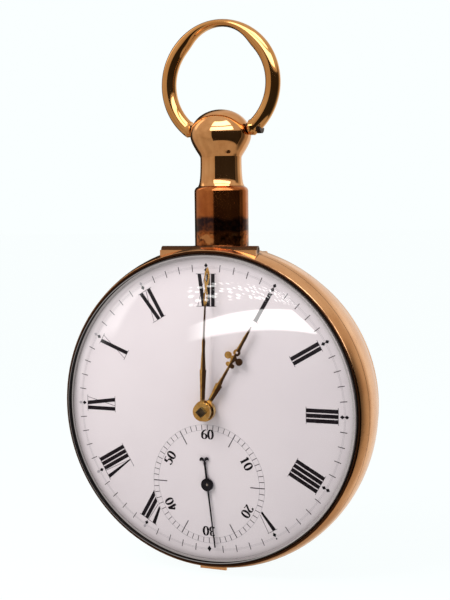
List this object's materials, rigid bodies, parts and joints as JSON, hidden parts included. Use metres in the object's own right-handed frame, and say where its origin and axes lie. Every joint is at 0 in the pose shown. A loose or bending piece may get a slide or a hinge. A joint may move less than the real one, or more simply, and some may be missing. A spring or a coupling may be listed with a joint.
{
  "type": "open face pocket watch",
  "caption": "Open face pocket watch with enamel dial, sunk-pendant bow, hinged bezel and back, and a working key-wound fusee train with rack lever escapement.",
  "frame": {"origin": "on the axis of the hour and minute hands, at the middle of the case's depth, where the pendant's axis crosses it", "axes": "+Z towards 12 o'clock, the pendant and the bow; -Y out of the dial towards the reader; +X towards 3 o'clock"},
  "size_m": [0.051, 0.0207, 0.086],
  "materials": {
    "case_gold": "polished rose gold",
    "sleeve_gold": "tarnished gold",
    "bow_gold": "polished gold",
    "pin_steel": "darkened steel",
    "crystal_glass": "clear",
    "enamel": "glossy enamel",
    "hand_gilt": "polished gilt",
    "blued_steel": "blued",
    "plate_gilt": "matte gilt",
    "wheel_brass": "brushed",
    "steel": "polished",
    "spring_steel": "blued",
    "chain_steel": "oiled",
    "ruby": "polished",
    "copper": "plain copper"
  },
  "bodies": {
    "case_and_plates": {"case_band": "case_gold", "inner_bottom": "case_gold", "bezel_hinge_pin": "case_gold", "back_hinge_pin": "case_gold", "pendant_sleeve": "sleeve_gold", "pendant_knob": "bow_gold", "bow_screw": "pin_steel", "dial": "enamel", "dial_feet": "copper", "dial_foot_pins": "wheel_brass", "pillar_plate": "plate_gilt", "pillars": "plate_gilt", "pillar_pins": "wheel_brass", "top_plate": "plate_gilt", "movement_hinge_pin": "steel", "minute_wheel_stud": "steel", "barrel_arbor": "steel", "setup_ratchet": "steel", "setup_click": "steel", "fusee_chain": "chain_steel", "hairspring": "spring_steel", "hairspring_stud": "steel", "regulator": "steel", "balance_cock": "plate_gilt", "cock_screw": "spring_steel", "cock_endstone": "ruby", "potence": "plate_gilt", "potence_screw": "spring_steel"},
    "bezel": {"bezel": "case_gold", "crystal": "crystal_glass"},
    "back": {"back_cover": "case_gold"},
    "bow": {"bow": "bow_gold"},
    "latch": {"movement_latch": "spring_steel"},
    "centre": {"centre_arbor": "steel", "centre_wheel": "wheel_brass", "cannon_pinion": "steel", "minute_hand": "hand_gilt"},
    "minute_wheel": {"minute_wheel": "wheel_brass"},
    "hour": {"hour_wheel": "wheel_brass", "hour_hand": "hand_gilt"},
    "third": {"third_arbor": "steel", "third_wheel": "wheel_brass"},
    "seconds": {"fourth_arbor": "steel", "fourth_wheel": "wheel_brass", "seconds_hand": "blued_steel"},
    "escape": {"escape_arbor": "steel", "escape_wheel": "wheel_brass"},
    "fusee": {"fusee_arbor": "steel", "fusee_cone": "wheel_brass", "great_wheel": "wheel_brass"},
    "barrel": {"barrel_drum": "wheel_brass", "barrel_cover": "wheel_brass", "mainspring": "spring_steel"},
    "balance": {"balance_staff": "steel", "balance_wheel": "wheel_brass"},
    "lever": {"rack_lever": "steel", "pallet_stones": "ruby", "pallet_arbor": "steel"}
  },
  "joints": [
    {"name": "bezel_hinge", "type": "hinge", "parent": "case_and_plates", "child": "bezel", "pos_m": [0, -0.005, 0.02465], "axis": [-1, 0, 0], "range_deg": [0, 82]},
    {"name": "back_hinge", "type": "hinge", "parent": "case_and_plates", "child": "back", "pos_m": [0, 0.00495, 0.0235], "axis": [1, 0, 0], "range_deg": [0, 84]},
    {"name": "bow_swing", "type": "hinge", "parent": "case_and_plates", "child": "bow", "pos_m": [0, 0, 0.04356], "axis": [1, 0, 0], "range_deg": [-120, 120]},
    {"name": "latch_slide", "type": "slide", "parent": "case_and_plates", "child": "latch", "axis": [0, 0, 1], "range_m": [0, 0.0007]},
    {"name": "centre_turn", "type": "hinge", "parent": "case_and_plates", "child": "centre", "pos_m": [0, 0, 0], "axis": [0, 1, 0], "continuous": true},
    {"name": "minute_wheel_turn", "type": "hinge", "parent": "case_and_plates", "child": "minute_wheel", "pos_m": [-0.00192, 0, -0.00333], "axis": [0, 1, 0], "continuous": true},
    {"name": "hour_turn", "type": "hinge", "parent": "case_and_plates", "child": "hour", "pos_m": [0, 0, 0], "axis": [0, 1, 0], "continuous": true},
    {"name": "third_turn", "type": "hinge", "parent": "case_and_plates", "child": "third", "pos_m": [-0.0028, 0, -0.00663], "axis": [0, 1, 0], "continuous": true},
    {"name": "seconds_turn", "type": "hinge", "parent": "case_and_plates", "child": "seconds", "pos_m": [0, 0, -0.01169], "axis": [0, 1, 0], "continuous": true},
    {"name": "escape_turn", "type": "hinge", "parent": "case_and_plates", "child": "escape", "pos_m": [0.00487, 0, -0.01299], "axis": [0, 1, 0], "continuous": true},
    {"name": "fusee_turn", "type": "hinge", "parent": "case_and_plates", "child": "fusee", "pos_m": [0.00796, 0, 0.00558], "axis": [0, 1, 0], "continuous": true},
    {"name": "barrel_turn", "type": "hinge", "parent": "case_and_plates", "child": "barrel", "pos_m": [-0.0096, 0, 0.0059], "axis": [0, 1, 0], "continuous": true},
    {"name": "balance_swing", "type": "hinge", "parent": "case_and_plates", "child": "balance", "pos_m": [0.0076, 0, -0.0058], "axis": [0, 1, 0], "range_deg": [-72, 72]},
    {"name": "lever_swing", "type": "hinge", "parent": "case_and_plates", "child": "lever", "pos_m": [0.0093, 0, -0.0128], "axis": [0, 1, 0], "range_deg": [-8, 8]}
  ],
  "couplings": [
    {"joint": "minute_wheel_turn", "follows": "centre_turn", "ratio": -0.33333},
    {"joint": "hour_turn", "follows": "centre_turn", "ratio": 0.083333},
    {"joint": "third_turn", "follows": "centre_turn", "ratio": -8},
    {"joint": "seconds_turn", "follows": "centre_turn", "ratio": 60},
    {"joint": "escape_turn", "follows": "centre_turn", "ratio": -480},
    {"joint": "fusee_turn", "follows": "centre_turn", "ratio": -0.2},
    {"joint": "barrel_turn", "follows": "centre_turn", "ratio": -0.1182},
    {"joint": "lever_swing", "follows": "balance_swing", "ratio": -0.11111}
  ]
}
